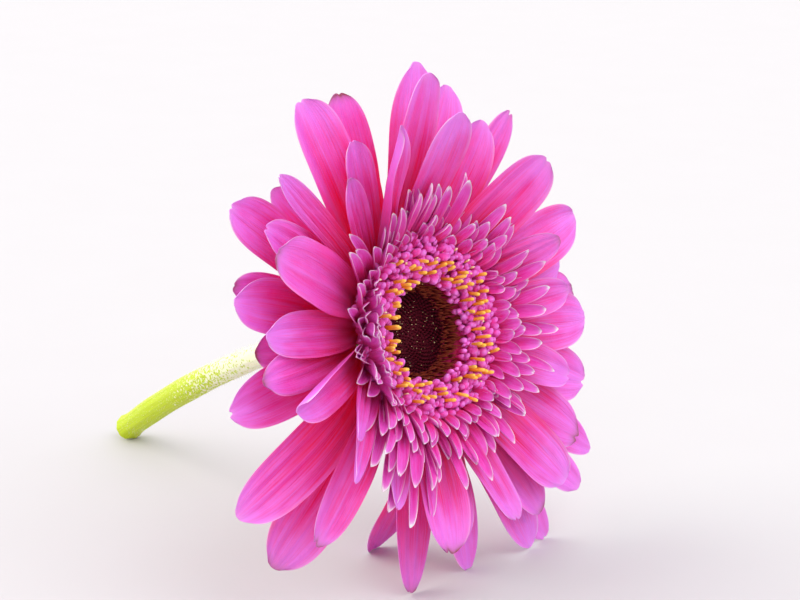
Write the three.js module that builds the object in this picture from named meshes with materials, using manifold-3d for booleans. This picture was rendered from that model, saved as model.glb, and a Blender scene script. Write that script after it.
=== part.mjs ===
// A cut gerbera, lying on its lower ray petals and on the cut end of its short, bent stem.
// Millimetres, +Z up. The face of the flower looks along +X, tipped back a little, and the
// stem runs back and down along -X. The origin is at the middle of the base of its box.
import * as THREE from "three";
import { mergeVertices } from "three/addons/utils/BufferGeometryUtils.js";
import Module from "manifold-3d";

const wasm = await Module();
wasm.setup();

// ---- Driving dimensions -------------------------------------------------------------
const FACE_TILT = 15; // degrees that the face leans back from upright
const PRESS = 0.6; // how far the lowest petals are pressed flat by the surface
const GAP = 0.3; // clearance between pieces that touch in the real flower

const PETAL_THICKNESS = 0.6;
const PETAL_SCALE = 1; // one factor on the length of every ray petal
const CLAW_SHARE = 0.28; // width of a petal's narrow base, as a share of its width
const SHOULDER = 0.62; // where along its length a petal is widest
const TIP_SHARE = 0.3; // width of the blunt tip, as a share of the petal's width
const CHANNEL = 0.16; // how far the edges stand up, as a share of the half width
const NOTCH = 0.035; // depth of the notch in the tip, as a share of the length
const SETTLE = 3; // how quickly the midrib settles from the claw's lift to the blade's
const ALONG = 8; // steps along a petal
const ACROSS = 4; // steps across a petal

const EYE_RADIUS = 10.0; // the dark cushion of closed buds in the middle
const EYE_DEPTH = 4.6; // how far the cushion lies below the plane of the head
const DISC_WIDTH = 7.2; // width of the ring of open disc florets around the eye
const DISC_HEIGHT = 2.0; // how far that ring swells above the plane of the head
const DISC_OVERHANG = 6.6; // how far it reaches out past the receptacle under it
const TRANS_REACH = 5.5; // length of the short strap florets around the ring, seen flat
const TRANS_LIFT = 40; // degrees that they rise towards the front
const TRANS_HEIGHT = 0.6; // where they leave the ring, above the plane of the head
const FLORET_THICKNESS = 0.8;
const STRAP_COUNT = 36; // straps that the frill's edge is cut into
const STRAP_CUT = 0.3; // depth of the cuts, as a share of the straps' reach

const RECEPTACLE_DEPTH = 7.4; // its top, below the plane of the head
const NECK_DEPTH = 17.6; // from the plane of the head back to the top of the stem
const BRACT_COUNT = 20;
const BRACT_SPREAD = 6.8; // reach of the green bracts past the receptacle
const BRACT_POINT = 4.0; // length of their free points
const BRACT_THICKNESS = 0.9;

const STEM_RADIUS_HEAD = 2.8;
const STEM_RADIUS_CUT = 3.6;
const STEM_REACH = 112; // from the plane of the head to the cut end, along -X
const STEM_SWAY = 10; // the cut end lies this far to the side
const STEM_DROOP = 33; // slope of the stem at its cut end, in degrees
const STEM_TURN = 0.16; // how far it turns back towards the middle there, as a slope

// ---- Colours ------------------------------------------------------------------------
const PINK = 0xd8389f;
const DEEP_PINK = 0xc42a84;
const FLORET_PINK = 0xd24ba8;
const DARK = 0x2a0812;
const GREEN = 0x9fb440;
const STEM_GREEN = 0xb9cc3a;

// ---- Sizes that follow --------------------------------------------------------------
const discInner = EYE_RADIUS + GAP;
const discRadius = EYE_RADIUS + DISC_WIDTH;
const transInner = discRadius + GAP;
const transRadius = transInner + TRANS_REACH;
const receptacleRadius = discRadius - DISC_OVERHANG;
const floretFloor = -RECEPTACLE_DEPTH + GAP; // where the florets stand on the receptacle
const bractRadius = receptacleRadius + BRACT_SPREAD;

// ---- Where the ray petals sit -------------------------------------------------------
// Four whorls, from the front one to the back one: how far outside the receptacle and
// below its top the claws start, and how steeply they leave it.
const WHORLS = {
  a: { outside: 0.9, below: -0.4, lift: 40, colour: PINK },
  b: { outside: 1.7, below: 0.9, lift: 36, colour: PINK },
  c: { outside: 2.5, below: 2.2, lift: 32, colour: DEEP_PINK },
  d: { outside: 3.3, below: 3.5, lift: 28, colour: DEEP_PINK },
};

// One row for each ray petal, clockwise from the top as seen from the front: its whorl,
// azimuth, length, width, the lift of its blade, and its roll about its length. Degrees
// and millimetres, chosen by hand.
const PETALS = [
  ["a", 3, 39, 11, 44, 0],
  ["c", 8, 42, 13, 16, 0],
  ["d", 25, 39, 11, 6, 0],
  ["c", 34, 35, 11, 16, 0],
  ["d", 43, 41, 8, 11, 0],
  ["a", 45, 36, 13, 35, 0],
  ["c", 61, 34, 10, 9, 0],
  ["a", 69, 29, 7, 38, 0],
  ["b", 73, 41, 12, 5, 0],
  ["c", 83, 36, 11, 2, 0],
  ["d", 91, 41, 11, -2, 0],
  ["a", 91, 30, 8, 18, 0],
  ["b", 100, 38, 13, 4, 0],
  ["c", 114, 40, 13, 0, 0],
  ["a", 115, 31, 9, 12, 0],
  ["d", 115, 48, 8, -19, 0],
  ["b", 129, 39, 12, 4, 0],
  ["d", 127, 50, 9, -4, 0],
  ["c", 138, 46, 10, 0, 0],
  ["a", 144, 39, 12, 6, 0],
  ["d", 149, 48, 10, -5, 0],
  ["b", 152, 40, 11, 2, 0],
  ["c", 155, 46, 10, -4, 0],
  ["d", 163, 35, 9, -20, 0],
  ["a", 166, 35, 8, 14, 0],
  ["c", 172, 41, 10, -8, 0],
  ["d", 178, 41, 11, -49, 0],
  ["b", 180, 34, 10, 8, 0],
  ["c", 190, 41, 10, -8, 0],
  ["a", 190, 36, 12, 10, 0],
  ["a", 212, 29, 6, 17, 0],
  ["c", 226, 44, 14, -14, 0],
  ["a", 228, 42, 9, 1, 0],
  ["a", 239, 38, 5, 29, 0],
  ["b", 242, 46, 12, -6, 0],
  ["a", 249, 38, 5, 39, 0],
  ["a", 262, 39, 9, 23, 40],
  ["c", 263, 39, 11, 5, 0],
  ["b", 268, 37, 9, 16, 0],
  ["d", 273, 21, 9, -12, 0],
  ["a", 278, 37, 9, 13, 0],
  ["c", 287, 38, 11, 11, 0],
  ["d", 290, 31, 9, 4, 0],
  ["a", 297, 41, 12, 22, 0],
  ["b", 304, 38, 9, 15, 0],
  ["d", 307, 40, 11, 10, 0],
  ["a", 315, 41, 6, 11, 0],
  ["d", 323, 27, 8, -6, 0],
  ["a", 326, 31, 6, 26, 0],
  ["a", 337, 43, 7, 42, -25],
  ["c", 336, 41, 13, 8, 0],
  ["b", 339, 33, 8, 22, 0],
  ["d", 351, 36, 12, 2, 0],
  ["b", 357, 44, 12, 33, 0],
];

const radians = THREE.MathUtils.degToRad;

function material(colour, roughness) {
  return new THREE.MeshStandardMaterial({ color: colour, roughness, metalness: 0 });
}

function named(name, geometry, look) {
  const mesh = new THREE.Mesh(geometry, look);
  mesh.name = name;
  return mesh;
}

// ---- Booleans -----------------------------------------------------------------------
function solidOf(geometry) {
  const bare = new THREE.BufferGeometry();
  bare.setAttribute("position", geometry.getAttribute("position"));
  bare.setIndex(geometry.index);
  const merged = mergeVertices(bare, 1e-4);
  return new wasm.Manifold(
    new wasm.Mesh({
      numProp: 3,
      vertProperties: new Float32Array(merged.attributes.position.array),
      triVerts: new Uint32Array(merged.index.array),
    }),
  );
}

function geometryOf(solid) {
  const mesh = solid.getMesh();
  const geometry = new THREE.BufferGeometry();
  const points = new THREE.BufferAttribute(mesh.vertProperties, 3);
  geometry.setAttribute("position", points);
  geometry.setIndex(new THREE.BufferAttribute(mesh.triVerts, 1));
  geometry.computeVertexNormals();
  return geometry;
}

// ---- Ray petals ---------------------------------------------------------------------
// In the head's own frame x runs across to the right, y up and z out of the face.

// Half the width of the outline, as a share of its greatest half width. The claw widens
// softly up to the shoulder, and past it the sides close in to the blunt tip.
function outline(along) {
  const softness = 1.15;
  const bluntness = 2.4;
  if (along < SHOULDER) {
    const rise = Math.sin((Math.PI / 2) * (along / SHOULDER)) ** softness;
    return CLAW_SHARE + (1 - CLAW_SHARE) * rise;
  }
  const past = (along - SHOULDER) / (1 - SHOULDER);
  return Math.sqrt(1 - (1 - TIP_SHARE ** 2) * past ** bluntness);
}

// The midrib leaves the claw at one lift and settles to the blade's lift: the point that
// lies a share of the way along it, as distance out and height, and the lift there.
function midrib(share, length, clawLift, bladeLift) {
  const steps = 24;
  let out = 0;
  let height = 0;
  let lift = radians(clawLift);
  for (let i = 0; i < steps; i++) {
    const at = (share * (i + 0.5)) / steps;
    lift = radians(bladeLift + (clawLift - bladeLift) * (1 - at) ** SETTLE);
    out += (Math.cos(lift) * length * share) / steps;
    height += (Math.sin(lift) * length * share) / steps;
  }
  lift = radians(bladeLift + (clawLift - bladeLift) * (1 - share) ** SETTLE);
  return { out, height, lift };
}

function petalGeometry([whorl, azimuth, size, width, bladeLift, roll]) {
  const { outside, below, lift: clawLift } = WHORLS[whorl];
  const length = size * PETAL_SCALE;
  const radius = receptacleRadius + outside;
  const depth = -RECEPTACLE_DEPTH - below;
  const geometry = new THREE.BoxGeometry(2, 1, 1, ACROSS, ALONG, 1);
  const position = geometry.attributes.position;
  const outward = new THREE.Vector3(Math.sin(radians(azimuth)), Math.cos(radians(azimuth)), 0);
  const face = new THREE.Vector3(0, 0, 1);
  const aside = new THREE.Vector3().crossVectors(outward, face);
  const point = new THREE.Vector3();
  const blade = new THREE.Vector3();
  for (let i = 0; i < position.count; i++) {
    const across = position.getX(i);
    const share = Math.sin((Math.PI / 2) * (position.getY(i) + 0.5));
    const side = position.getZ(i) * PETAL_THICKNESS;
    const notched = share * (1 - NOTCH * (1 - Math.abs(across)) * share ** 12);
    const { out, height, lift } = midrib(notched, length, clawLift, bladeLift);
    const halfWidth = (width / 2) * outline(share) - GAP;
    const turn = radians(roll * share);
    const x = across * halfWidth;
    const y = CHANNEL * halfWidth * across * across + side;
    blade.copy(outward).multiplyScalar(-Math.sin(lift)).addScaledVector(face, Math.cos(lift));
    point.copy(outward).multiplyScalar(radius + out).addScaledVector(face, depth + height);
    point.addScaledVector(aside, x * Math.cos(turn) - y * Math.sin(turn));
    point.addScaledVector(blade, x * Math.sin(turn) + y * Math.cos(turn));
    position.setXYZ(i, point.x, point.y, point.z);
  }
  return geometry;
}

// ---- The middle of the head ---------------------------------------------------------
// A ring or disc around the face's axis: a profile of [radius, height] points, turned.
function turned(profile, segments) {
  const points = profile.map(([radius, height]) => new THREE.Vector2(radius, height));
  return new THREE.LatheGeometry(points, segments).rotateX(Math.PI / 2);
}

// The ring of open disc florets swells up to a rounded crest and slopes in to the eye.
function discFlorets() {
  const middle = (discInner + discRadius) / 2;
  const profile = [
    [discInner, floretFloor],
    [receptacleRadius + GAP, floretFloor + GAP],
    [discRadius - 1.4, -2.2],
    [discRadius, 0.2],
    [discRadius - 1.0, DISC_HEIGHT - 0.3],
    [middle + 0.6, DISC_HEIGHT],
    [middle - 2.2, DISC_HEIGHT - 1.8],
    [discInner, -EYE_DEPTH + 0.6],
    [discInner, floretFloor],
  ];
  return turned(profile, 40);
}

// The closed buds make a low dark cushion, a little hollow in its middle.
function budCushion() {
  const profile = [
    [0, floretFloor],
    [EYE_RADIUS, floretFloor],
    [EYE_RADIUS, -EYE_DEPTH],
    [EYE_RADIUS * 0.8, -EYE_DEPTH + 0.7],
    [EYE_RADIUS * 0.4, -EYE_DEPTH + 0.3],
    [0, -EYE_DEPTH],
  ];
  return turned(profile, 32);
}

// The short strap florets: a rising frill whose edge is cut into rounded straps.
function transFlorets() {
  const slope = Math.tan(radians(TRANS_LIFT));
  const rim = TRANS_HEIGHT + TRANS_REACH * slope;
  const profile = [
    [transInner, TRANS_HEIGHT],
    [transRadius, rim],
    [transRadius, rim + FLORET_THICKNESS],
    [transInner, TRANS_HEIGHT + FLORET_THICKNESS],
    [transInner, TRANS_HEIGHT],
  ];
  const geometry = turned(profile, STRAP_COUNT * 2);
  const position = geometry.attributes.position;
  const cut = TRANS_REACH * STRAP_CUT;
  for (let i = 0; i < position.count; i++) {
    const x = position.getX(i);
    const y = position.getY(i);
    const radius = Math.hypot(x, y);
    const between = Math.cos(STRAP_COUNT * Math.atan2(y, x)) < 0;
    if (!between || radius < transRadius - 0.01) continue;
    const kept = (transRadius - cut) / radius;
    position.setXYZ(i, x * kept, y * kept, position.getZ(i) - cut * slope);
  }
  return geometry;
}

// ---- Behind the petals --------------------------------------------------------------
function receptacle() {
  const profile = [
    [0, -NECK_DEPTH + GAP],
    [STEM_RADIUS_HEAD + 0.4, -NECK_DEPTH + GAP],
    [STEM_RADIUS_HEAD + 1.8, -NECK_DEPTH + 1.6],
    [receptacleRadius - 2.2, -RECEPTACLE_DEPTH - 4.6],
    [receptacleRadius, -RECEPTACLE_DEPTH - 1.2],
    [receptacleRadius, -RECEPTACLE_DEPTH],
    [0, -RECEPTACLE_DEPTH],
  ];
  return turned(profile, 32);
}

// A cup of pointed green bracts that holds the whorls from behind. Their tips stay below
// the claws of the last whorl, and the cup's floor lies around the neck.
function involucre() {
  const inner = STEM_RADIUS_HEAD + 2.6;
  const rim = bractRadius - BRACT_POINT;
  const back = -NECK_DEPTH + 0.6;
  const tip = -RECEPTACLE_DEPTH - WHORLS.d.below - BRACT_THICKNESS - GAP;
  const bend = back + (tip - back) * 0.45;
  const profile = [
    [inner, back],
    [rim - 2.4, back + 1.6],
    [rim, bend],
    [bractRadius, tip],
    [bractRadius - 0.5, tip + BRACT_THICKNESS],
    [rim - 0.3, bend + BRACT_THICKNESS],
    [rim - 2.8, back + 1.6 + BRACT_THICKNESS],
    [inner, back + BRACT_THICKNESS],
    [inner, back],
  ];
  const geometry = turned(profile, BRACT_COUNT * 2);
  const position = geometry.attributes.position;
  for (let i = 0; i < position.count; i++) {
    const x = position.getX(i);
    const y = position.getY(i);
    const radius = Math.hypot(x, y);
    const between = Math.cos(BRACT_COUNT * Math.atan2(y, x)) < 0;
    if (!between || radius < rim + 0.1) continue;
    const kept = (rim + 0.6) / radius;
    position.setXYZ(i, x * kept, y * kept, position.getZ(i) - (tip - bend) * 0.85);
  }
  return geometry;
}

// ---- Stem ---------------------------------------------------------------------------
// A tapered cylinder bent along a curve, from the neck down to the surface.
function stemCurve(headHeight) {
  const tilt = radians(FACE_TILT);
  const droop = radians(STEM_DROOP);
  const back = new THREE.Vector3(-Math.cos(tilt), 0, -Math.sin(tilt));
  const start = back.clone().multiplyScalar(NECK_DEPTH);
  const endHeight = STEM_RADIUS_CUT * Math.cos(droop) - PRESS - headHeight;
  const end = new THREE.Vector3(-STEM_REACH, STEM_SWAY, endHeight);
  const arrive = new THREE.Vector3(Math.cos(droop), -STEM_TURN, Math.sin(droop));
  const handle = (STEM_REACH - NECK_DEPTH) / 3;
  return new THREE.CubicBezierCurve3(
    start,
    start.clone().addScaledVector(back, handle),
    end.clone().addScaledVector(arrive, handle),
    end,
  );
}

function stem(headHeight) {
  const curve = stemCurve(headHeight);
  const sides = 14;
  const steps = 18;
  const shape = new THREE.CylinderGeometry(STEM_RADIUS_HEAD, STEM_RADIUS_CUT, 1, sides, steps);
  const position = shape.attributes.position;
  const sideways = new THREE.Vector3(0, 1, 0);
  for (let i = 0; i < position.count; i++) {
    const along = 0.5 - position.getY(i);
    const forward = curve.getTangent(along);
    const over = new THREE.Vector3().crossVectors(sideways, forward).normalize();
    const aside = new THREE.Vector3().crossVectors(forward, over);
    const point = curve.getPoint(along);
    point.addScaledVector(over, position.getX(i)).addScaledVector(aside, position.getZ(i));
    position.setXYZ(i, point.x, point.y, point.z);
  }
  return shape;
}

// ---- Assembly -----------------------------------------------------------------------
const head = new THREE.Group();
const tilt = radians(FACE_TILT);
head.setRotationFromMatrix(
  new THREE.Matrix4().makeBasis(
    new THREE.Vector3(0, 1, 0),
    new THREE.Vector3(-Math.sin(tilt), 0, Math.cos(tilt)),
    new THREE.Vector3(Math.cos(tilt), 0, Math.sin(tilt)),
  ),
);
PETALS.forEach((row, i) => {
  const name = "ray_petal_" + String(i + 1).padStart(2, "0");
  head.add(named(name, petalGeometry(row), material(WHORLS[row[0]].colour, 0.55)));
});
head.add(named("disc_florets", discFlorets(), material(FLORET_PINK, 0.6)));
head.add(named("bud_cushion", budCushion(), material(DARK, 0.8)));
head.add(named("trans_florets", transFlorets(), material(FLORET_PINK, 0.6)));
head.add(named("receptacle", receptacle(), material(GREEN, 0.7)));
head.add(named("involucre", involucre(), material(GREEN, 0.75)));

const flower = new THREE.Group();
flower.add(head);
flower.updateMatrixWorld(true);

// The head stands as high as its lowest petal lets it, less the little that is pressed flat.
const headHeight = -new THREE.Box3().setFromObject(head, true).min.z - PRESS;
flower.add(named("stem", stem(headHeight), material(STEM_GREEN, 0.6)));
flower.updateMatrixWorld(true);

// What would reach below the surface is cut off flat there, by a slab wider than the flower.
const slabWidth = 4 * STEM_REACH;
const slabDepth = 10;
const slab = new THREE.BoxGeometry(slabWidth, slabWidth, slabDepth);
slab.translate(0, 0, -headHeight - slabDepth / 2);
flower.traverse((mesh) => {
  if (!mesh.isMesh) return;
  if (new THREE.Box3().setFromObject(mesh, true).min.z >= -headHeight) return;
  const local = slab.clone().applyMatrix4(mesh.matrixWorld.clone().invert());
  mesh.geometry = geometryOf(solidOf(mesh.geometry).subtract(solidOf(local)));
});

// The origin goes to the middle of the base of the box.
const box = new THREE.Box3().setFromObject(flower, true);
flower.position.set(-(box.min.x + box.max.x) / 2, -(box.min.y + box.max.y) / 2, headHeight);

export default flower;
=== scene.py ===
# %% [markdown]
# # A cut gerbera, piece by piece
# The flower lies on its lower petals and on the cut end of its stem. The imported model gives
# the frame: where the head is, how far it leans back and how large everything is. Every
# visible piece is then grown around that frame, because a flower's charm is in thin edges,
# grooves and hundreds of small florets that a plain solid can't show.

# %% Load the frame
import math
import random

import bpy
import bmesh
import numpy as np
from mathutils import Matrix, Vector


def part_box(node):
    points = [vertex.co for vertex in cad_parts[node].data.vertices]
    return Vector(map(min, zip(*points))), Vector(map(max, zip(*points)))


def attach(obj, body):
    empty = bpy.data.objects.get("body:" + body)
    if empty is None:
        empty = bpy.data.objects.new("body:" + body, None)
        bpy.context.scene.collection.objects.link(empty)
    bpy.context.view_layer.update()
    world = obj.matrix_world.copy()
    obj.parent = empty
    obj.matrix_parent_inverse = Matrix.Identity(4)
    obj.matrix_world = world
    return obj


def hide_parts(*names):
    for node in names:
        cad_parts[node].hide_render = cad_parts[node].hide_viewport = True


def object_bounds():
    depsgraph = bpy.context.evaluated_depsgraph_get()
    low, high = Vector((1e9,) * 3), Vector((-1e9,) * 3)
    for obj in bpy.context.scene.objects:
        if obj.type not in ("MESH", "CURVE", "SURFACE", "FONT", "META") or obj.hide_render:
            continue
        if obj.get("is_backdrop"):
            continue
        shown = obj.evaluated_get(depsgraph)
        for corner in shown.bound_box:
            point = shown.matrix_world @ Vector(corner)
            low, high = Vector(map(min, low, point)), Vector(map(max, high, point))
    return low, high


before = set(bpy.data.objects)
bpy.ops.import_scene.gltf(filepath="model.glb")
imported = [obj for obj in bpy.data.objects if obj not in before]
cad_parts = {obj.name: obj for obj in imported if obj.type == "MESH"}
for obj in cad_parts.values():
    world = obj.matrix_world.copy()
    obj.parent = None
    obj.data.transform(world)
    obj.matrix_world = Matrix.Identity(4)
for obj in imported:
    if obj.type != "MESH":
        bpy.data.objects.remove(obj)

cad_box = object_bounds()
print("the model's box:", [round(side, 4) for corner in cad_box for side in corner])

# %% [markdown]
# ## The head's own axes
# Every petal and floret grows from the middle of the head, so it helps to think in the
# head's own axes: right, up along the leaning face, and out of the face. The middle of the
# head is found from the cushion of buds. That piece is turned around the face's axis, so the
# middle of its box lies a known way from the middle of the head.

# %% Find the head
MM = 0.001
TILT = math.radians(15)
RIGHT = Vector((0, 1, 0))
UP = Vector((-math.sin(TILT), 0, math.cos(TILT)))
OUT = Vector((math.cos(TILT), 0, math.sin(TILT)))

EYE_RADIUS = 10.0
EYE_DEPTH = 4.6
RECEPTACLE_RADIUS = 10.6
RECEPTACLE_DEPTH = 7.4
NECK_DEPTH = 17.6
FLORET_FLOOR = -7.1
EYE_PROFILE = [(EYE_RADIUS, FLORET_FLOOR), (EYE_RADIUS, -EYE_DEPTH), (8.0, 0.7 - EYE_DEPTH),
               (4.0, 0.3 - EYE_DEPTH), (0.0, -EYE_DEPTH)]


def leaning_middle(profile):
    """Middle of the box of a turned piece whose axis leans back with the face."""
    edges = [OUT * height + UP * (radius * side) for radius, height in profile for side in (-1, 1)]
    low = [min(edge[axis] for edge in edges) for axis in range(3)]
    high = [max(edge[axis] for edge in edges) for axis in range(3)]
    return (Vector(low) + Vector(high)) * (MM / 2)


eye_low, eye_high = (Vector(corner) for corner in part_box("bud_cushion"))
HEAD = (eye_low + eye_high) / 2 - leaning_middle(EYE_PROFILE)
disc_low, disc_high = (Vector(corner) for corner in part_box("disc_florets"))
print("middle of the head:", [round(v / MM, 2) for v in HEAD], "mm")
print("ring of florets is", [round(v / MM, 1) for v in disc_high - disc_low], "mm")


def around(azimuth):
    """Unit vector away from the head's middle, at a clock angle in degrees seen from the front."""
    angle = math.radians(azimuth)
    return RIGHT * math.sin(angle) + UP * math.cos(angle)


def on_head(azimuth, radius, height):
    """A point given in the head's axes, in millimetres, as a point of the frame in metres."""
    return HEAD + (around(azimuth) * radius + OUT * height) * MM


# %% [markdown]
# ## Writing shader maths as plain expressions
# A material is a little program drawn as nodes. Written out in Python, adding a Math node for
# every plus sign is tiring to read. The class below wraps one socket, so that `1 - edge * 0.4`
# adds the nodes by itself. Colours go through Mix nodes instead, because a Math node would
# turn a colour grey.

# %% A value that changes over a surface
class Value:
    """One output socket of a material, with arithmetic."""

    def __init__(self, look, socket):
        self.look = look
        self.socket = socket

    def maths(self, operation, first, second=0.0):
        return self.look.node("Math", {"operation": operation}, {0: first, 1: second})

    def __add__(self, other):
        return self.maths("ADD", self, other)

    def __sub__(self, other):
        return self.maths("SUBTRACT", self, other)

    def __rsub__(self, other):
        return self.maths("SUBTRACT", other, self)

    def __mul__(self, other):
        return self.maths("MULTIPLY", self, other)

    def __pow__(self, other):
        return self.maths("POWER", self, other)

    def __abs__(self):
        return self.maths("ABSOLUTE", self)

    def clamped(self):
        return self.look.node("Clamp", {}, {"Value": self})

    __radd__ = __add__
    __rmul__ = __mul__


# %% A material under construction
class Look:
    """A new material. node() adds any node: its type, its settings, then its sockets."""

    def __init__(self, name):
        self.material = bpy.data.materials.new(name)
        self.material.use_nodes = True
        self.tree = self.material.node_tree
        self.tree.nodes.clear()

    def node(self, kind, settings, sockets, out=0):
        made = self.tree.nodes.new("ShaderNode" + kind)
        for key, setting in settings.items():
            if key == "stops":
                self.set_stops(made.color_ramp, setting)
            else:
                setattr(made, key, setting)
        for key, value in sockets.items():
            if isinstance(value, Value):
                self.tree.links.new(value.socket, made.inputs[key])
            else:
                made.inputs[key].default_value = value
        return Value(self, made.outputs[out]) if made.outputs else made

    def set_stops(self, ramp, stops):
        while len(ramp.elements) < len(stops):
            ramp.elements.new(0.5)
        for element, (position, colour) in zip(ramp.elements, stops):
            element.position = position
            element.color = (*colour, 1.0)

    def mix(self, share, first, second):
        """Colour between two colours: share 0 gives the first and 1 the second."""
        return self.node("Mix", {"data_type": "RGBA"}, {0: share, 6: first, 7: second}, out=2)

    def ramp(self, value, stops):
        return self.node("ValToRGB", {"stops": stops}, {0: value})

    def split(self, vector):
        """The three numbers of a vector socket."""
        return [self.node("SeparateXYZ", {}, {0: vector}, out=axis) for axis in range(3)]

    def place(self):
        """The place in the object, in metres, so that grain has the same size everywhere."""
        return self.node("TexCoord", {}, {}, out=3)

    def finish(self, surface):
        self.node("OutputMaterial", {}, {"Surface": surface})
        return self.material


def colour(red, green, blue):
    """A colour as a painter's program shows it, 0 to 255, turned into light for the shader."""
    return tuple(((part / 255 + 0.055) / 1.055) ** 2.4 for part in (red, green, blue))


def paint(red, green, blue):
    return (*colour(red, green, blue), 1.0)


# %% [markdown]
# ## Places that are woven into the mesh
# The veins of a petal run from its claw to its tip and draw together where it narrows. No
# outside coordinate knows that, so each point of a mesh carries its own: how far across, how
# far along, and a number that is the same all over one petal and differs from its neighbour.
# The same gatherer collects many small closed shells into one mesh.

# %% Collect shells into a mesh
class Gather:
    """Closed shells made of rings of points, gathered into one mesh."""

    def __init__(self):
        self.points = []
        self.faces = []
        self.place = []
        self.under = []

    def shell(self, rings, places, under=0.0):
        """Joins rings of equal length with quads and closes both ends."""
        first = len(self.points)
        count = len(rings[0])
        for ring, ring_places in zip(rings, places):
            self.points.extend(ring)
            self.place.extend(ring_places)
        self.under.extend([under] * (len(rings) * count) if np.isscalar(under) else under)
        for i in range(len(rings) - 1):
            start = first + i * count
            for j in range(count):
                k = (j + 1) % count
                self.faces.append((start + j, start + k, start + count + k, start + count + j))
        return first, count

    def cap(self, first, count, flip):
        """Closes a round ring with one face."""
        ring = [first + j for j in range(count)]
        self.faces.append(tuple(reversed(ring) if flip else ring))

    def object(self, name, material, nodes):
        """Makes the mesh a piece of the object, standing for its nodes."""
        mesh = bpy.data.meshes.new(name)
        mesh.from_pydata([tuple(point) for point in self.points], [], self.faces)
        attribute = mesh.attributes.new("place", "FLOAT_VECTOR", "POINT")
        attribute.data.foreach_set("vector", np.array(self.place, np.float32).ravel())
        attribute = mesh.attributes.new("under", "FLOAT", "POINT")
        attribute.data.foreach_set("value", np.array(self.under, np.float32))
        work = bmesh.new()
        work.from_mesh(mesh)
        bmesh.ops.recalc_face_normals(work, faces=work.faces)
        work.to_mesh(mesh)
        work.free()
        mesh.polygons.foreach_set("use_smooth", [True] * len(mesh.polygons))
        mesh.set_sharp_from_angle(angle=math.radians(75))
        mesh.materials.append(material)
        piece = bpy.data.objects.new(name, mesh)
        bpy.context.scene.collection.objects.link(piece)
        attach(piece, "root")
        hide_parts(*nodes)
        return piece


# %% [markdown]
# ## One blade for everything that is flat
# Ray petals, strap florets, lobes and bracts are all the same kind of thing: a thin blade
# with a midrib that rises and settles, edges that stand up into a channel, fine ridges and a
# rounded tip with a small notch. One function grows them all, and the callers differ only in
# the numbers that they give. The blade is laid out as a grid of points, once for its face and
# once for its back, so it has a real thickness that thins towards the edge.

# %% Grow a blade
def settle(first, last):
    """Lift that leaves at one angle and settles to another along the blade, in degrees."""
    return lambda share: np.radians(last + (first - last) * (1 - share) ** 3)


def blade(gather, start, outward, face, length, width, lift, outline, steps=(40, 16),
          thickness=0.4, channel=(0.5, 0.16), roll=0.0, sway=0.0, ridges=(0.0, 3.0),
          wave=(0.0, 1.5, 0.0), tip=(0.05, 0.03), tone=0.5, lie_above=None):
    """Adds one blade. Lengths are in millimetres and angles in degrees."""
    along, across = steps
    share = np.sin(np.linspace(0, math.pi / 2, along + 1))
    t, u = np.meshgrid(share, np.linspace(-1, 1, across + 1), indexing="ij")
    back = tip[0] * np.abs(u) ** 2.2 + tip[1] * np.exp(-(((u - 0.3 * tone) / 0.18) ** 2))
    reach = t - t**8 * back
    fine = np.linspace(0, 1, 121)
    angle = lift(fine)
    step = length / 120
    run = np.concatenate([[0], np.cumsum(np.cos((angle[1:] + angle[:-1]) / 2) * step)])
    climb = np.concatenate([[0], np.cumsum(np.sin((angle[1:] + angle[:-1]) / 2) * step)])
    run, climb, angle = (np.interp(reach, fine, line) for line in (run, climb, angle))
    half = width / 2 * outline(t)
    open_up = channel[0] + (channel[1] - channel[0]) * np.clip(t * 2.2, 0, 1)
    middle = open_up * half * u**2
    fade = np.sin(math.pi * np.clip(t, 0.02, 0.98)) ** 0.7
    middle = middle + ridges[0] * np.cos(math.pi * ridges[1] * (u + 0.12 * tone)) * fade
    middle = middle + wave[0] * u**2 * np.sin(2 * math.pi * (wave[1] * t + wave[2] + 0.25 * u)) * t
    thick = thickness * (1 - 0.65 * np.abs(u) ** 4) * (1 - 0.5 * t**6)
    aside = outward.cross(face)
    turn = np.radians(roll) * t
    rings = []
    for side in (0.5, -0.5):
        x = u * half
        y = middle + thick * side
        sideways = x * np.cos(turn) - y * np.sin(turn) + sway * t**2
        upwards = x * np.sin(turn) + y * np.cos(turn)
        away = run - np.sin(angle) * upwards
        above = climb + np.cos(angle) * upwards
        grid = (np.array(start)
                + away[..., None] * MM * np.array(outward)
                + above[..., None] * MM * np.array(face)
                + sideways[..., None] * MM * np.array(aside))
        rings.append(grid if side > 0 else grid[:, ::-1])
    places = np.stack([u, t, np.full_like(t, tone)], axis=-1)
    loops = np.concatenate(rings, axis=1)
    if lie_above is not None:
        loops[..., 2] = np.maximum(loops[..., 2], lie_above)
    loop_places = np.concatenate([places, places[:, ::-1]], axis=1)
    under = np.concatenate([np.zeros_like(t), np.ones_like(t)], axis=1).ravel()
    first, count = gather.shell(loops, loop_places, under)
    for ring, order in ((0, 1), (along, -1)):
        begin = first + ring * count
        for j in range(across):
            quad = (begin + j, begin + j + 1, begin + count - 2 - j, begin + count - 1 - j)
            gather.faces.append(quad[::-order])


def turned_shell(gather, start, direction, profile, sides, tone=0.5, squeeze=1.0):
    """Adds a small turned body along a direction: a profile of (along, radius) in millimetres."""
    forward = direction.normalized()
    aside = forward.orthogonal().normalized()
    over = forward.cross(aside)
    rings = []
    places = []
    last = profile[-1][0]
    for reach, radius in profile:
        middle = start + forward * (reach * MM)
        ring = []
        for j in range(sides):
            angle = 2 * math.pi * j / sides
            spoke = aside * math.cos(angle) + over * (math.sin(angle) * squeeze)
            ring.append(middle + spoke * (radius * MM))
        rings.append(ring)
        places.append([(2 * j / sides - 1, reach / last, tone) for j in range(sides)])
    first, count = gather.shell(rings, places)
    gather.cap(first, count, True)
    gather.cap(first + (len(rings) - 1) * count, count, False)


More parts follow.
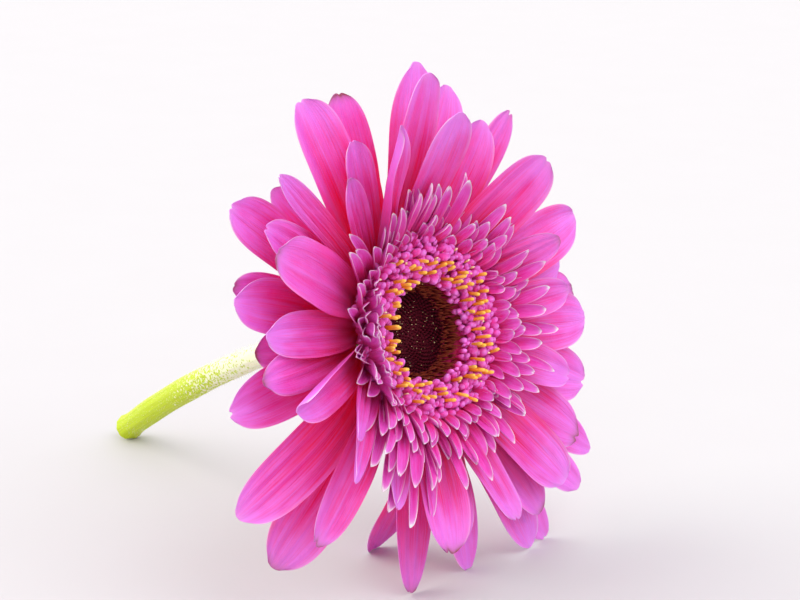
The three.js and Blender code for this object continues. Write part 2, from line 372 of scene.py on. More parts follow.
# %% [markdown]
# ## The petals' finish
# A ray petal is crimson at its claw, magenta along its blade and lilac at its tip, with fine
# veins that run its whole length. The crimson of the claw, and the deeper crimson streaked along
# the veins near it, are partly painted red glow and shade. Its surface is covered in tiny domed
# cells, so it looks like velvet with a little sheen. The lilac it turns where it is seen edge on
# is a painted sheen, mixed in by a Layer Weight. The petal is also thin enough to let light
# through, and light that has passed through it comes out red. A Translucent shader does that, and
# its share is largest at the claw. The rim is pale, partly its own colour and partly a painted
# highlight, and lets no red through. The tips of a few petals have begun to wither.

# %% Make the petal material
def petal_look(name, base, body, tip, rim, through, glow, rim_reach=0.0, velvet=0.22, painted_sheen=0.5,
               fading=0.0):
    """Velvety tissue. Glow is the share of light let through, rim_reach how pale the rim and its
    painted highlight are, velvet the sheen, bloom how much lilac sheen is painted on where it is
    seen edge on, and fading how far its tip withers."""
    look = Look(name)
    place = look.node("Attribute", {"attribute_name": "place"}, {}, out=1)
    across, along, tone = look.split(place)
    under = look.node("Attribute", {"attribute_name": "under"}, {}, out=2)
    vein_place = look.node("CombineXYZ", {}, {0: across * 9.0, 1: along * 1.2, 2: tone * 40.0})
    veins = look.node("TexNoise", {}, {"Vector": vein_place, "Scale": 2.6, "Detail": 3.0})
    stripe_place = look.node("CombineXYZ", {}, {0: across * 2.6, 1: along * 0.5, 2: tone * 31.0})
    stripes = look.node("TexNoise", {}, {"Vector": stripe_place, "Scale": 1.5, "Detail": 1.0})
    cloud_place = look.node("CombineXYZ", {}, {0: across * 0.7, 1: along * 2.5, 2: tone * 23.0})
    cloud = look.node("TexNoise", {}, {"Vector": cloud_place, "Scale": 1.6, "Detail": 2.0})
    # The crimson at the claw is partly painted red glow and shade. The ramp then runs to magenta, and
    # to lilac at the tip.
    pale = look.ramp(along + (cloud - 0.5) * 0.7, [(0.24, base), (0.64, body), (0.97, tip)])
    banded = look.mix(((stripes - 0.48) * 4.0).clamped() * along * 0.8, pale, (*tip, 1.0))
    striped = look.mix((veins * 2.4 - 0.9).clamped() * 0.4, banded, (*tip, 1.0))
    # Painted red glow and shade: a deeper crimson along the veins near the claw.
    painted_claw_glow = look.mix(((0.56 - veins) * (1.1 - along) * 5.0).clamped(), striped, (*base, 1.0))
    # The pale rim, strongest towards the tip, is partly its own colour and partly a painted
    # highlight.
    edge = ((abs(across) ** 14.0) * (along ** 5.0) * (0.5 + rim_reach)
            + (along ** 40.0) * rim_reach).clamped()
    rim_and_highlight = look.mix(edge, painted_claw_glow, (*rim, 1.0))
    told = look.mix((tone * 0.25).clamped(), rim_and_highlight, (*body, 1.0))
    withered = ((along ** 44.0) * (tone - 0.6).clamped() * cloud * 9.0).clamped() * fading
    weathered = look.mix(withered, told, paint(150, 84, 74))
    backed = look.mix(under * 0.25, weathered, (*tip, 1.0))
    # Painted sheen: lilac is mixed into the colour where the surface is seen edge on.
    grazing = look.node("LayerWeight", {}, {"Blend": 0.4}, out=1)
    sheen_painted_colour = look.mix(grazing * painted_sheen * (1 - edge), backed, paint(228, 112, 255))
    cells = look.node("TexNoise", {}, {"Vector": look.place(), "Scale": 1600.0, "Detail": 1.0})
    relief = look.node("Bump", {}, {"Strength": 0.6, "Distance": 0.0005,
                                    "Height": veins + cells * 0.25 + stripes * 0.6})
    surface = look.node("BsdfPrincipled", {}, {
        "Base Color": sheen_painted_colour, "Roughness": cloud * 0.14 + 0.40, "Normal": relief,
        "Sheen Weight": velvet, "Sheen Roughness": 0.4, "Sheen Tint": paint(226, 150, 255),
        "Specular IOR Level": 0.4})
    light = look.node("BsdfTranslucent", {}, {"Color": (*through, 1.0), "Normal": relief})
    share = (1 - edge) * (1 - along.clamped() * 0.68) * glow
    return look.finish(look.node("MixShader", {}, {0: share, 1: surface, 2: light}))


CRIMSON = colour(255, 18, 56)
# A near-white rim colour, partly a painted highlight.
PALE_RIM_AND_HIGHLIGHT = colour(255, 250, 255)
# The petals take a painted lilac sheen where they are seen edge on.
PETAL = petal_look("petal velvet", colour(255, 0, 40), colour(238, 44, 166), colour(242, 140, 255),
                   colour(255, 232, 240), CRIMSON, 0.55, rim_reach=0.2, painted_sheen=0.6, fading=1.0)

# %% [markdown]
# ## Where the ray petals sit
# Fifty-four petals stand in four whorls, and no two lie quite alike: some stand up, some
# droop, one has folded right back under the head. Chance would give a tidy daisy, so the
# petals keep the places of the model, one row each, clockwise from the top.

# %% The whorls and the petals
WHORLS = {
    "a": (RECEPTACLE_RADIUS + 0.9, 0.4 - RECEPTACLE_DEPTH, 40),
    "b": (RECEPTACLE_RADIUS + 1.7, -0.9 - RECEPTACLE_DEPTH, 36),
    "c": (RECEPTACLE_RADIUS + 2.5, -2.2 - RECEPTACLE_DEPTH, 32),
    "d": (RECEPTACLE_RADIUS + 3.3, -3.5 - RECEPTACLE_DEPTH, 28),
}
PETALS = [
    # whorl, azimuth, length, width, lift of the blade, roll
    ("a", 3, 39, 11, 44, 0),
    ("c", 8, 42, 13, 16, 0),
    ("d", 25, 39, 11, 6, 0),
    ("c", 34, 35, 11, 16, 0),
    ("d", 43, 41, 8, 11, 0),
    ("a", 45, 36, 13, 35, 0),
    ("c", 61, 34, 10, 9, 0),
    ("a", 69, 29, 7, 38, 0),
    ("b", 73, 41, 12, 5, 0),
    ("c", 83, 36, 11, 2, 0),
    ("d", 91, 41, 11, -2, 0),
    ("a", 91, 30, 8, 18, 0),
    ("b", 100, 38, 13, 4, 0),
    ("c", 114, 40, 13, 0, 0),
    ("a", 115, 31, 9, 12, 0),
    ("d", 115, 48, 8, -19, 0),
    ("b", 129, 39, 12, 4, 0),
    ("d", 127, 50, 9, -4, 0),
    ("c", 138, 46, 10, 0, 0),
    ("a", 144, 39, 12, 6, 0),
    ("d", 149, 48, 10, -5, 0),
    ("b", 152, 40, 11, 2, 0),
    ("c", 155, 46, 10, -4, 0),
    ("d", 163, 35, 9, -20, 0),
    ("a", 166, 35, 8, 14, 0),
    ("c", 172, 41, 10, -8, 0),
    ("d", 178, 41, 11, -49, 0),
    ("b", 180, 34, 10, 8, 0),
    ("c", 190, 41, 10, -8, 0),
    ("a", 190, 36, 12, 10, 0),
    ("a", 212, 29, 6, 17, 0),
    ("c", 226, 44, 14, -14, 0),
    ("a", 228, 42, 9, 1, 0),
    ("a", 239, 38, 5, 29, 0),
    ("b", 242, 46, 12, -6, 0),
    ("a", 249, 38, 5, 39, 0),
    ("a", 262, 39, 9, 23, 40),
    ("c", 263, 39, 11, 5, 0),
    ("b", 268, 37, 9, 16, 0),
    ("d", 273, 21, 9, -12, 0),
    ("a", 278, 37, 9, 13, 0),
    ("c", 287, 38, 11, 11, 0),
    ("d", 290, 31, 9, 4, 0),
    ("a", 297, 41, 12, 22, 0),
    ("b", 304, 38, 9, 15, 0),
    ("d", 307, 40, 11, 10, 0),
    ("a", 315, 41, 6, 11, 0),
    ("d", 323, 27, 8, -6, 0),
    ("a", 326, 31, 6, 26, 0),
    ("a", 337, 43, 7, 42, -25),
    ("c", 336, 41, 13, 8, 0),
    ("b", 339, 33, 8, 22, 0),
    ("d", 351, 36, 12, 2, 0),
    ("b", 357, 44, 12, 33, 0),
]


def petal_outline(share):
    """Half width along a ray petal: a narrow claw, a broad blade and a blunt tip."""
    rise = 0.28 + 0.72 * np.sin(math.pi / 2 * np.clip(share / 0.62, 0, 1)) ** 1.15
    past = np.clip((share - 0.62) / 0.38, 0, 1)
    return np.where(share < 0.62, rise, np.sqrt(1 - (1 - 0.36**2) * past**2.9))


# %% Grow the ray petals
chance = random.Random(4)
SURFACE = 0.15 * MM
for number, (whorl, azimuth, length, width, blade_lift, roll) in enumerate(PETALS, 1):
    radius, depth, claw_lift = WHORLS[whorl]
    petal = Gather()
    curl = chance.uniform(-9, 7)
    base_lift = settle(claw_lift, blade_lift)
    blade(petal, on_head(azimuth, radius, depth), around(azimuth), OUT, length, width,
          lambda share, lift=base_lift, curl=curl: lift(share) + np.radians(curl) * share**5,
          petal_outline, steps=(48, 24), thickness=0.42,
          channel=(0.75, chance.uniform(0.1, 0.3) + abs(roll) * 0.012),
          roll=roll + chance.uniform(-5, 5), sway=chance.uniform(-1.0, 1.0),
          ridges=(chance.uniform(0.2, 0.44), chance.choice((2.6, 3.2, 4.0))),
          wave=(chance.uniform(0.2, 0.7), chance.uniform(0.9, 1.8), chance.random()),
          tip=(0.026, chance.choice((0.0, 0.0, 0.012, 0.022))), tone=chance.random(),
          lie_above=SURFACE)
    node = f"ray_petal_{number:02d}"
    petal.object(f"petal_{number:02d}", PETAL, [node])
print(len(PETALS), "ray petals")

# %% [markdown]
# ## The strap florets around the ring
# Inside the ray petals stand rows of short straps, each bent into a trough with a pale rim that
# is partly a painted highlight, overlapping like scales. The outer rows are long and lean out,
# the inner ones are short and stand up. Where a ray petal stands up steeply behind them, the
# straps in front of it stand up with it. On the left they stand so steeply that they make a low
# wall around the ring.

# %% Make the strap material
# The straps' near-white rim is partly a painted highlight.
STRAP = petal_look("strap velvet", colour(244, 4, 84), colour(246, 46, 186), colour(252, 120, 236),
                   PALE_RIM_AND_HIGHLIGHT, CRIMSON, 0.3, rim_reach=2.6, velvet=0.1, painted_sheen=0.25)


# %% [markdown]
# The eye and its florets don't sit quite in the middle of the head: they have sunk and drifted
# a little. Everything small is therefore placed through one more helper, which shifts the
# innermost places most and leaves the outermost alone.

# %% Let the middle drift
DRIFT = RIGHT * 0.4 - UP * 1.3


def in_flower(azimuth, radius, height):
    """Like on_head, for florets and buds: the innermost places drift off the middle."""
    share = min(max((22.0 - radius) / 10.0, 0.0), 1.0)
    return on_head(azimuth, radius, height) + DRIFT * (share * MM)


# %% Grow the strap florets
def strap_outline(share):
    """Half width along a strap floret: nearly parallel, with a round tip."""
    past = np.clip((share - 0.6) / 0.4, 0, 1)
    return (0.62 + 0.38 * np.clip(share / 0.5, 0, 1)) * np.sqrt(1 - (1 - 0.26**2) * past**2.0)


PUSH_SPAN = 16


def push(azimuth):
    """How steeply the ray petals of the front whorl stand behind this clock angle."""
    steep = 0.0
    for whorl, at, _, _, lift, _ in PETALS:
        apart = abs((azimuth - at + 180) % 360 - 180)
        if whorl == "a" and apart < PUSH_SPAN:
            steep = max(steep, lift * (1 - (apart / PUSH_SPAN) ** 2))
    return steep


STRAP_ROWS = [
    # radius, height, length, lift, count
    (18.6, -0.8, 13.5, 22, 30),
    (18.4, -0.4, 11.0, 29, 32),
    (18.2, 0.0, 8.6, 36, 32),
    (18.0, 0.3, 6.6, 44, 32),
    (17.8, 0.5, 4.8, 54, 32),
]
WALL_AZIMUTH = 275
WALL_SPAN = 34
for row, (radius, height, length, lean, count) in enumerate(STRAP_ROWS, 1):
    straps = Gather()
    for i in range(count):
        azimuth = 360 * (i + 0.5 * (row % 2)) / count + chance.uniform(-3, 3)
        upright = (12 + 9 * row) * math.exp(-(((azimuth - WALL_AZIMUTH) / WALL_SPAN) ** 2))
        lift = max(lean, push(azimuth) + 5 + 2 * row) + upright + chance.uniform(-5, 5)
        size = length * chance.uniform(0.72, 1.2)
        blade(straps, in_flower(azimuth, radius, height), around(azimuth), OUT, size,
              chance.uniform(2.3, 3.0), settle(lift + 16, lift), strap_outline, steps=(18, 10),
              thickness=0.24, channel=(1.0, 0.85), roll=chance.uniform(-18, 18),
              sway=chance.uniform(-1.6, 1.6), ridges=(0.04, 3.0),
              wave=(0.12, 1.2, chance.random()), tip=(0.03, chance.choice((0.0, 0.0, 0.05))),
              tone=chance.random())
    straps.object(f"strap_row_{row}", STRAP, ["trans_florets"])
print(sum(row[4] for row in STRAP_ROWS), "strap florets")

# %% [markdown]
# A few straps are half as long again as their neighbours. A fringe of them hangs at the lower
# left, a few fill the foot of the wall, and the others stand up in front of the top petals.

# %% Grow the long straps
LONG_STRAPS = [
    # azimuth, length, lift
    (196, 21, 8), (201, 17, 22), (205, 23, 4), (209, 18, 24), (213, 22, 8), (218, 18, 26),
    (222, 20, 14), (227, 17, 30), (232, 18, 18), (237, 15, 34), (243, 16, 24), (250, 14, 40),
    (258, 12, 34), (263, 11, 44), (269, 12, 40), (275, 11, 50), (281, 12, 46), (288, 13, 52),
    (330, 15, 44), (338, 17, 48), (346, 16, 46), (355, 17, 44), (8, 16, 46), (20, 17, 42),
]
fringe = Gather()
for azimuth, length, lift in LONG_STRAPS:
    blade(fringe, in_flower(azimuth, 17.2, -1.4), around(azimuth), OUT, length,
          chance.uniform(2.6, 3.4), settle(lift + 14, lift), strap_outline, steps=(22, 12),
          thickness=0.24, channel=(1.0, 0.8), roll=chance.uniform(-30, 30),
          sway=chance.uniform(-2.0, 2.0), ridges=(0.05, 3.0), wave=(0.2, 1.2, chance.random()),
          tip=(0.02, chance.choice((0.0, 0.04, 0.08))), tone=chance.random())
fringe.object("strap_fringe", STRAP, ["trans_florets"])
print(len(LONG_STRAPS), "long straps")

# %% [markdown]
# ## The open disc florets
# Each open floret is a tiny flower: a tube whose mouth splits into three blunt lobes.
# Packed side by side they read as a knobbly pink ring. Out of the inner ones stand orange
# anther tubes with a cream end.

# %% Make the floret and anther materials
FLORET = petal_look("floret velvet", colour(244, 6, 84), colour(255, 46, 170), colour(255, 134, 246),
                    colour(255, 200, 252), CRIMSON, 0.24, rim_reach=0.3, velvet=0.1,
                    painted_sheen=0.2)


def rod_look(name, low, middle, end, roughness, shine=0.5):
    look = Look(name)
    place = look.node("Attribute", {"attribute_name": "place"}, {}, out=1)
    _, along, tone = look.split(place)
    grain = look.node("TexNoise", {}, {"Vector": look.place(), "Scale": 1500.0, "Detail": 2.0})
    shade = look.ramp((along + (grain - 0.5) * 0.3 + (tone - 0.5) * 0.25).clamped(),
                      [(0.0, low), (0.45, middle), (0.92, end)])
    relief = look.node("Bump", {}, {"Strength": 0.5, "Distance": 0.0002, "Height": grain})
    return look.finish(look.node("BsdfPrincipled", {}, {
        "Base Color": shade, "Roughness": grain * 0.2 + roughness, "Normal": relief,
        "Specular IOR Level": shine}))


ANTHER = rod_look("anther orange", colour(206, 84, 24), colour(244, 150, 18),
                  colour(255, 204, 84), 0.45)
# Painted shade: the bed under the florets is a darker crimson, seen only in the gaps between them.
BED_PAINTED_SHADE = rod_look("floret bed", colour(176, 4, 60), colour(190, 6, 74), colour(206, 14, 96), 0.6)
BUD = rod_look("closed bud pink", colour(200, 10, 70), colour(250, 50, 160),
               colour(255, 136, 240), 0.4)
CREAM = rod_look("floret tip cream", colour(240, 160, 60), colour(252, 214, 120),
                 colour(255, 240, 200), 0.5)


# %% Grow the open florets
LOBES = 3
LOBE_PROFILE = [(0.0, 0.3), (0.6, 0.46), (1.2, 0.62), (1.65, 0.6), (2.0, 0.42), (2.15, 0.2),
                (2.2, 0.04)]


def ring_top(radius):
    """Height of the ring of florets over the plane of the head: a rounded swelling."""
    across = min(max((radius - 10.0) / 9.5, 0.0), 1.0)
    return -2.2 + 3.4 * math.sin(math.pi * (across * 0.62 + 0.12))


def tilted(azimuth, degrees):
    """A direction that leans away from the face's own, outward for positive degrees."""
    lean = math.radians(degrees)
    return OUT * math.cos(lean) + around(azimuth) * math.sin(lean)


florets = Gather()
anthers = Gather()
creams = Gather()
FLORET_ROWS = [
    # radius, count, share with an anther tube, share with a cream tip
    (17.7, 46, 0.0, 0.1),
    (16.6, 44, 0.05, 0.3),
    (15.4, 40, 0.25, 0.45),
    (14.1, 36, 0.55, 0.4),
    (12.9, 34, 0.8, 0.3),
    (11.9, 30, 0.75, 0.1),
]
for row, (radius, count, share_rod, share_cream) in enumerate(FLORET_ROWS):
    for i in range(count):
        azimuth = 360 * (i + 0.5 * (row % 2)) / count + chance.uniform(-3, 3)
        at = radius + chance.uniform(-0.45, 0.45)
        lean = (at - 13.8) * 6 + chance.uniform(-12, 12)
        axis = tilted(azimuth, lean)
        mouth = in_flower(azimuth, at, ring_top(at) - 0.5)
        tone = chance.random()
        turned_shell(florets, mouth - axis * (3.0 * MM), axis,
                     [(0, 0.5), (2.0, 0.62), (3.0, 0.85), (3.3, 0.5)], 8, tone)
        for lobe in range(LOBES):
            spin = 360 * lobe / LOBES + chance.uniform(-25, 25)
            sideways = Matrix.Rotation(math.radians(spin), 3, axis) @ axis.orthogonal().normalized()
            pointing = axis + sideways * chance.uniform(0.35, 0.8)
            size = chance.uniform(0.95, 1.6)
            stout = size * chance.uniform(0.75, 1.05)
            turned_shell(florets, mouth + sideways * (0.35 * MM) - axis * (0.4 * MM), pointing,
                         [(reach * size, thick * stout) for reach, thick in LOBE_PROFILE], 8, tone,
                         squeeze=chance.uniform(0.5, 0.9))
        if chance.random() < share_rod:
            pointing = tilted(azimuth + chance.uniform(-40, 40), chance.uniform(-16, 22))
            turned_shell(anthers, mouth + axis * (0.7 * MM), pointing,
                         [(0, 0.22), (0.4, 0.31), (2.6, 0.35), (3.2, 0.4), (3.8, 0.32), (4.0, 0.1)],
                         8, chance.random())
        elif chance.random() < share_cream:
            turned_shell(creams, mouth + axis * (0.9 * MM), tilted(azimuth, chance.uniform(-30, 30)),
                         [(0, 0.14), (0.7, 0.22), (1.1, 0.24), (1.4, 0.08)], 6, chance.random())
florets.object("open_florets", FLORET, ["disc_florets"])
anthers.object("anther_tubes", ANTHER, ["disc_florets"])
creams.object("floret_tips", CREAM, ["disc_florets"])
print("open florets:", sum(row[1] for row in FLORET_ROWS))

# %% Grow the bed under the florets
bed = Gather()
bed_profile = [(0.0, 0.05), (0.2, 9.0), (2.5, 12.8), (4.6, 15.6), (5.8, 17.6), (6.6, 17.0),
               (6.9, 14.5), (6.0, 12.4), (4.4, 11.0), (0.4, 10.4), (0.3, 0.05)]
bed_middle = in_flower(0, 8, FLORET_FLOOR + 0.1) - around(0) * (8 * MM)
turned_shell(bed, bed_middle, OUT, bed_profile, 64, 0.3)
bed.object("floret_bed", BED_PAINTED_SHADE, ["disc_florets"])

# %% [markdown]
# ## The eye
# The youngest buds fill the middle, packed in the spiral that sunflowers show: each sits a
# golden angle on from the last. They lie at the bottom of a little bowl. Its wall is made of
# taller buds in brown bristles, which stand straight out of the face, and the topmost ones
# show a pink tip because they are about to open.

# %% Make the eye's materials
EYE = rod_look("dark bud", colour(30, 0, 8), colour(58, 4, 18), colour(96, 14, 36), 0.5, shine=0.16)
BRISTLE = rod_look("brown bristle", colour(52, 0, 14), colour(112, 12, 30), colour(184, 92, 62), 0.5,
                   shine=0.2)
POLLEN = rod_look("pollen yellow", colour(236, 190, 60), colour(250, 220, 110),
                  colour(255, 244, 190), 0.7)

# %% Grow the eye
GOLDEN_ANGLE = 137.508
EYE_FLOOR = -5.4
BUD_SPREAD = 9.4
eye = Gather()
turned_shell(eye, in_flower(0, 0, FLORET_FLOOR + 0.3), OUT,
             [(0.0, 9.9), (0.9, 9.9), (1.2, 8.0), (1.3, 4.0), (1.35, 0.1)], 48, 0.1)
BUDS = 520
for i in range(BUDS):
    radius = BUD_SPREAD * math.sqrt((i + 0.5) / BUDS)
    rise = 0.9 * (radius / BUD_SPREAD) ** 2
    pointing = tilted(i * GOLDEN_ANGLE, -20 * radius / BUD_SPREAD + chance.uniform(-6, 6))
    turned_shell(eye, in_flower(i * GOLDEN_ANGLE, radius, EYE_FLOOR + rise - 0.5), pointing,
                 [(0, 0.22), (0.5, 0.3), (0.95, 0.2), (1.2, 0.04)], 6, chance.random())
eye.object("bud_eye", EYE, ["bud_cushion"])
print("eye:", BUDS, "buds")

# %% Grow the wall of bristles
bristles = Gather()
WALL = 900
for i in range(WALL):
    outer = chance.random()
    azimuth = i * GOLDEN_ANGLE
    start = in_flower(azimuth, 8.3 + 3.3 * outer, EYE_FLOOR + 0.6 * outer)
    pointing = tilted(azimuth + chance.uniform(-30, 30), chance.uniform(-16, 6))
    long = 1.6 + 2.9 * outer + chance.uniform(-0.5, 0.6)
    turned_shell(bristles, start, pointing, [(0, 0.17), (long * 0.6, 0.14), (long, 0.04)], 5,
                 chance.random())
bristles.object("eye_bristles", BRISTLE, ["bud_cushion"])
print(WALL, "bristles")

# %% Grow the buds that are about to open
small_buds = Gather()
SMALL_BUDS = 66
for i in range(SMALL_BUDS):
    ring = i % 2
    azimuth = 360 * i / SMALL_BUDS + chance.uniform(-3, 3)
    start = in_flower(azimuth, 10.9 + 0.7 * ring, -2.2 + 0.3 * ring + chance.uniform(-0.8, 0.5))
    pointing = tilted(azimuth, chance.uniform(-24, 8))
    size = chance.uniform(0.8, 1.15)
    bud_profile = [(0, 0.24), (0.6, 0.34), (1.2, 0.56 * size), (2.0, 0.6 * size), (2.5, 0.42),
                   (2.7, 0.1)]
    turned_shell(small_buds, start, pointing, bud_profile, 8, chance.random())
small_buds.object("small_buds", BUD, ["disc_florets"])
print(SMALL_BUDS, "small buds")

# %% Scatter the pollen
pollen = Gather()
GRAINS = 130
GRAINS_IN_THE_EYE = 60
for i in range(GRAINS):
    spread = 7.0 if i < GRAINS_IN_THE_EYE else 16.5
    radius = spread * math.sqrt(chance.random())
    height = EYE_FLOOR + 0.9 if radius < 9 else ring_top(radius) + 0.9
    grain = chance.uniform(0.04, 0.1)
    turned_shell(pollen, in_flower(chance.uniform(0, 360), radius, height), OUT,
                 [(0, grain * 0.5), (grain, grain), (grain * 2, grain * 0.5)], 6, chance.random())
pollen.object("pollen_grains", POLLEN, ["bud_cushion"])
print(GRAINS, "grains of pollen")

# %% [markdown]
# ## Behind the petals
# The green cup of bracts is what the flower looks like from behind. The bracts are narrow,
# pointed and hairy, in three rows that overlap like roof tiles, and they hold the fleshy
# receptacle.

# %% Make the green materials
def green_look(name, low, body, pale_end, pale_from):
    """Streaked green tissue that turns pale and mottled from a share of the piece's length on."""
    look = Look(name)
    place = look.node("Attribute", {"attribute_name": "place"}, {}, out=1)
    across, along, tone = look.split(place)
    streak_place = look.node("CombineXYZ", {}, {0: across * 7.0, 1: along * 2.0, 2: tone * 11.0})
    streaks = look.node("TexNoise", {}, {"Vector": streak_place, "Scale": 3.0, "Detail": 3.0})
    mottle = look.node("TexNoise", {}, {"Vector": look.place(), "Scale": 1500.0, "Detail": 3.0})
    shade = look.mix((streaks * 1.8 - 0.4).clamped(), (*low, 1.0), (*body, 1.0))
    # Paler and mottled from a share of the length on, towards the head.
    pale_share = (((mottle - 0.5) + (along - pale_from) * 0.9) * 12.0).clamped()
    paled = look.mix(pale_share * 0.8, shade, (*pale_end, 1.0))
    relief = look.node("Bump", {}, {"Strength": 0.5, "Distance": 0.0003,
                                    "Height": streaks + mottle * 0.5})
    return look.finish(look.node("BsdfPrincipled", {}, {
        "Base Color": paled, "Roughness": mottle * 0.25 + 0.38, "Normal": relief,
        "Specular IOR Level": 0.25, "Sheen Weight": 0.1, "Subsurface Weight": 0.12,
        "Subsurface Scale": 0.001}))


BRACT = green_look("bract green", colour(70, 104, 34), colour(128, 156, 62),
                   colour(196, 206, 160), 1.1)
STEM = green_look("stem green", colour(166, 192, 0), colour(214, 232, 0),
                  colour(252, 252, 232), 0.43)


def hair_look():
    look = Look("plant hair")
    return look.finish(look.node("BsdfPrincipled", {}, {
        "Base Color": paint(240, 242, 214), "Roughness": 0.6, "Sheen Weight": 0.3}))


HAIR = hair_look()


# %% Grow the bracts
def bract_outline(share):
    return np.clip((0.75 + 0.5 * share) * (1 - share**2.2), 0.03, 1)


bracts = Gather()
BRACT_ROWS = [
    # radius, height, length, lift at the foot, lift at the tip, count
    (5.4, -16.5, 13.6, 12, 40, 20),
    (5.2, -17.0, 12.4, 10, 36, 18),
    (4.6, -17.4, 8.8, 8, 30, 15),
]
for row, (radius, depth, length, leave, arrive, count) in enumerate(BRACT_ROWS):
    for i in range(count):
        azimuth = 360 * (i + 0.33 * row) / count + chance.uniform(-2, 2)
        lift = settle(leave, arrive + chance.uniform(-3, 5))
        size = length * chance.uniform(0.93, 1.06)
        blade(bracts, on_head(azimuth, radius, depth), around(azimuth), OUT, size, 4.4, lift,
              bract_outline, steps=(16, 8), thickness=0.6, channel=(0.3, 0.3),
              ridges=(0.08, 2.0), tip=(0.0, 0.0), tone=chance.random())
bracts.object("involucre_bracts", BRACT, ["involucre"])
print("bracts:", sum(row[5] for row in BRACT_ROWS))

# %% Grow the receptacle
receptacle = Gather()
receptacle_profile = [(0.0, 2.7), (0.6, 3.0), (1.6, 4.2), (3.0, 5.6), (5.4, 8.0), (8.2, 10.2),
                      (9.6, 10.6), (10.3, 10.2)]
turned_shell(receptacle, on_head(0, 0, -NECK_DEPTH - 1.0), OUT, receptacle_profile, 48, 0.4)
receptacle.object("receptacle_flesh", BRACT, ["receptacle"])
print("receptacle's widest radius:", max(radius for _, radius in receptacle_profile), "mm")

# %% [markdown]
# ## The stem
# A gerbera's stem is a leafless, slightly ribbed tube covered in fine hairs. It bends under
# its own weight along one smooth curve, from the neck of the head down to the surface. The
# curve is the model's, and the ribs, the swelling at the neck and the cut end are added here.
# Near the head the green turns pale and mottled.

# %% Lay out the stem's curve
STEM_REACH = 112
STEM_SWAY = 10
STEM_RADIUS_HEAD = 2.8
STEM_RADIUS_CUT = 3.6
STEM_TURN = 0.16
PRESS = 0.6
droop = math.radians(33)
stem_back = -OUT
stem_start = HEAD + stem_back * (NECK_DEPTH * MM)
stem_end = Vector((HEAD.x - STEM_REACH * MM, HEAD.y + STEM_SWAY * MM,
                   (STEM_RADIUS_CUT * math.cos(droop) - PRESS) * MM))
handle = (STEM_REACH - NECK_DEPTH) / 3 * MM
stem_leave = stem_start + stem_back * handle
stem_arrive = stem_end + Vector((math.cos(droop), -STEM_TURN, math.sin(droop))) * handle


def stem_point(share):
    left = 1 - share
    return (stem_start * left**3 + stem_leave * (3 * left**2 * share)
            + stem_arrive * (3 * left * share**2) + stem_end * share**3)


# %% Grow the stem
def stem_radius(share, angle):
    """Radius in millimetres: a taper, a swelling at the neck, a flare at the cut and ribs."""
    radius = 0.86 * (STEM_RADIUS_HEAD + (STEM_RADIUS_CUT - STEM_RADIUS_HEAD) * share)
    radius += 0.9 * math.exp(-((share / 0.035) ** 2)) + 0.4 * math.exp(-(((share - 1) / 0.02) ** 2))
    radius += 0.12 * math.sin(9 * share + 2) + 0.05 * math.sin(31 * share)
    return radius + 0.07 * math.cos(11 * angle + 3 * share) + 0.04 * math.cos(23 * angle)


stem = Gather()
RINGS = 110
SIDES = 44
rings = []
places = []
frames = []
for i in range(RINGS + 1):
    share = i / RINGS
    middle = stem_point(share)
    forward = (stem_point(min(share + 0.005, 1.0)) - stem_point(max(share - 0.005, 0.0))).normalized()
    over = RIGHT.cross(forward).normalized()
    aside = forward.cross(over)
    frames.append((middle, over, aside))
    ring = []
    for j in range(SIDES):
        angle = 2 * math.pi * j / SIDES
        spoke = over * math.cos(angle) + aside * math.sin(angle)
        point = middle + spoke * (stem_radius(share, angle) * MM)
        point.z = max(point.z, SURFACE)
        ring.append(point)
    rings.append(ring)
    places.append([(math.cos(2 * math.pi * j / SIDES) * 2.5, 1 - share, 0.4) for j in range(SIDES)])
pith_middle = stem_end + (stem_point(0.97) - stem_end).normalized() * (0.7 * MM)
for squeeze in (0.86, 0.5, 0.12):
    rings.append([pith_middle + (point - stem_end) * squeeze for point in rings[RINGS]])
    places.append([(0.0, 0.1, 0.8)] * SIDES)
first, count = stem.shell(rings, places)
stem.cap(first, count, True)
stem.cap(first + (len(rings) - 1) * count, count, False)
stem.object("stem_flesh", STEM, ["stem"])

# %% Grow the hairs
hairs = Gather()
HAIRS = 2600
LOWEST_ROOT = 1.2 * MM
for _ in range(HAIRS):
    middle, over, aside = frames[chance.randrange(1, RINGS)]
    angle = chance.uniform(0, 2 * math.pi)
    spoke = over * math.cos(angle) + aside * math.sin(angle)
    root = middle + spoke * (2.7 * MM)
    if root.z < LOWEST_ROOT:
        continue
    long = chance.uniform(0.3, 0.8)
    lean = Vector([chance.uniform(-0.4, 0.4) for _ in range(3)])
    turned_shell(hairs, root, spoke + lean, [(0, 0.035), (long * 0.6, 0.03), (long, 0.01)], 3)
hairs.object("stem_hairs", HAIR, ["stem"])
print("stem from", [round(v / MM, 1) for v in stem_start],
      "to", [round(v / MM, 1) for v in stem_end])

# %% [markdown]
# ## Floor, light and camera
# The flower lies on a plain pale floor. Most of the light is soft and comes from everywhere,
# so the shadows stay faint. One broad, warm light from behind shines through the petals, which
# makes their bases glow red, and a cooler one in front keeps the face bright.

# %% Lay the floor
def floor_look():
    look = Look("pale floor")
    weave = look.node("TexNoise", {}, {"Scale": 260.0, "Detail": 3.0})
    relief = look.node("Bump", {}, {"Strength": 0.15, "Distance": 0.0006, "Height": weave})
    shade = look.mix(weave * 0.3, paint(192, 190, 191), paint(198, 197, 199))
    return look.finish(look.node("BsdfPrincipled", {}, {
        "Base Color": shade, "Roughness": 0.85, "Normal": relief}))


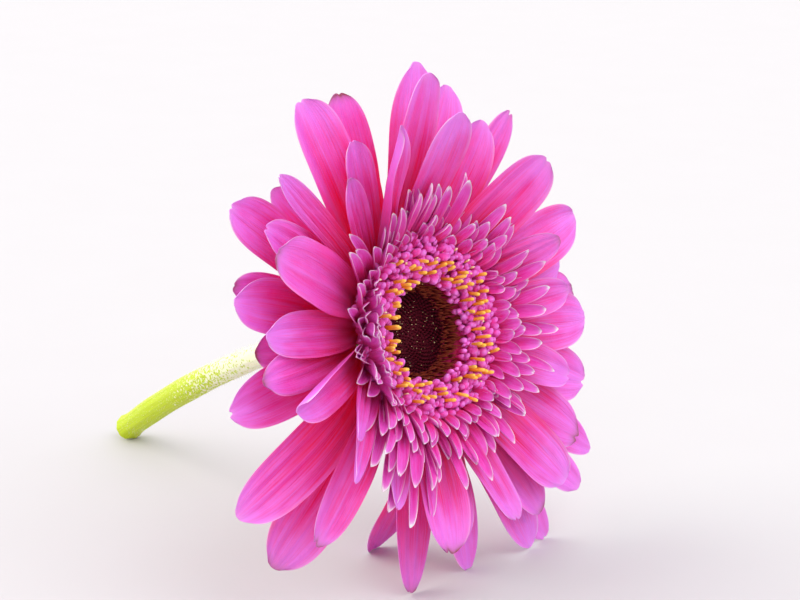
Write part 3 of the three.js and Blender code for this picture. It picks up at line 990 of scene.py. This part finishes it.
FLOOR = 4.0
floor_corners = [(-FLOOR, -FLOOR, 0), (FLOOR, -FLOOR, 0), (FLOOR, FLOOR, 0), (-FLOOR, FLOOR, 0)]
floor_mesh = bpy.data.meshes.new("floor")
floor_mesh.from_pydata(floor_corners, [], [(0, 1, 2, 3)])
floor = bpy.data.objects.new("floor", floor_mesh)
floor_mesh.materials.append(floor_look())
bpy.context.scene.collection.objects.link(floor)
floor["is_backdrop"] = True


# %% Hang the lights
def far_light(name, place, strength, softness, tint):
    """A distant soft light that shines on the head from a place. Softness is in degrees."""
    lamp = bpy.data.lights.new(name, "SUN")
    lamp.energy = strength
    lamp.angle = math.radians(softness)
    lamp.color = tint
    light = bpy.data.objects.new(name, lamp)
    light.location = HEAD + Vector(place)
    light.rotation_euler = (-Vector(place)).to_track_quat("-Z", "Y").to_euler()
    bpy.context.scene.collection.objects.link(light)


far_light("key_light", (0.62, 0.10, 0.80), 1.1, 50, (0.90, 0.92, 1.0))
far_light("back_light", (-0.60, -0.50, 0.70), 1.5, 60, (1.0, 0.95, 0.90))
world = bpy.data.worlds.new("studio")
world.use_nodes = True
world.node_tree.nodes["Background"].inputs[0].default_value = (1.0, 0.99, 1.0, 1.0)
world.node_tree.nodes["Background"].inputs[1].default_value = 1.24
bpy.context.scene.world = world
bpy.context.scene.view_settings.view_transform = "Standard"

# %% Place the camera
VIEW_AZIMUTH = math.radians(45)
VIEW_ELEVATION = math.radians(15)
DISTANCE = 400 * MM
to_camera = Vector((math.sin(VIEW_AZIMUTH) * math.cos(VIEW_ELEVATION),
                    -math.cos(VIEW_AZIMUTH) * math.cos(VIEW_ELEVATION), math.sin(VIEW_ELEVATION)))
camera_right = Vector((math.cos(VIEW_AZIMUTH), math.sin(VIEW_AZIMUTH), 0))
camera_up = to_camera.cross(camera_right)
lens = bpy.data.cameras.new("camera")
lens.lens = 90
lens.sensor_width = 36
camera = bpy.data.objects.new("camera", lens)
camera.location = HEAD + to_camera * DISTANCE - camera_right * (4.9 * MM) + camera_up * (5.2 * MM)
camera.rotation_euler = to_camera.to_track_quat("Z", "Y").to_euler()
bpy.context.scene.collection.objects.link(camera)
bpy.context.scene.camera = camera

# %% Write the sizes and finish
visual_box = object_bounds()
grown = [round((v - c) / MM, 1) for vs, cs in zip(visual_box, cad_box) for v, c in zip(vs, cs)]
print("grown by", grown, "mm")
